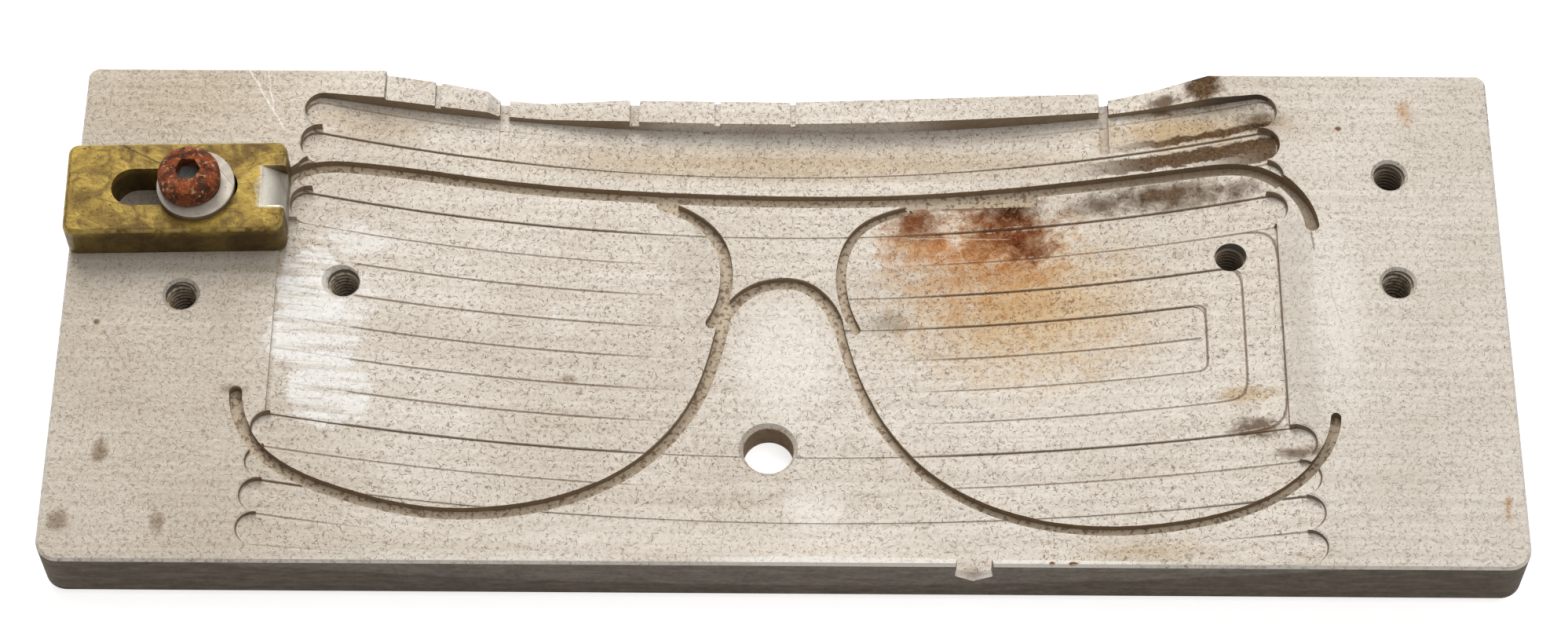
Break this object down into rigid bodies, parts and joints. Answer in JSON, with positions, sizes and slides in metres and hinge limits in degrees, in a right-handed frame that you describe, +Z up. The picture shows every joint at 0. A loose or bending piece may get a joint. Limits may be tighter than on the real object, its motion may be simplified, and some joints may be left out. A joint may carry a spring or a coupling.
{
  "type": "brazing jig plate",
  "caption": "Milled plate jig with a shallow curved bed, wire grooves, tapped holes and a slotted bar clamp held by a socket screw.",
  "frame": {"origin": "centre of the plate's underside", "axes": "+X along the plate, away from the clamp; +Y to the edge with the lowered ridge; +Z up out of the bed"},
  "size_m": [0.1903, 0.0744, 0.0199],
  "materials": {
    "plate_aluminium": "milled, heat stained and scratched",
    "bar_brass": "dull, tarnished, worn bright at the edges",
    "washer_steel": "dull grey",
    "screw_steel": "rusted"
  },
  "bodies": {
    "plate": {"base_plate": "plate_aluminium"},
    "screw": {"clamp_screw": "screw_steel"},
    "washer": {"clamp_washer": "washer_steel"},
    "bar": {"clamp_bar": "bar_brass"}
  },
  "joints": [
    {"name": "screw_turn", "type": "hinge", "parent": "plate", "child": "screw", "pos_m": [-0.0785, 0.015, 0.01], "axis": [0, 0, 1], "range_deg": [0, 360]},
    {"name": "washer_swivel", "type": "hinge", "parent": "plate", "child": "washer", "pos_m": [-0.0785, 0.015, 0.01], "axis": [0, 0, 1], "continuous": true},
    {"name": "bar_slide", "type": "slide", "parent": "washer", "child": "bar", "axis": [0.9997, 0.0227, 0], "range_m": [-0.003, 0.0075]}
  ]
}
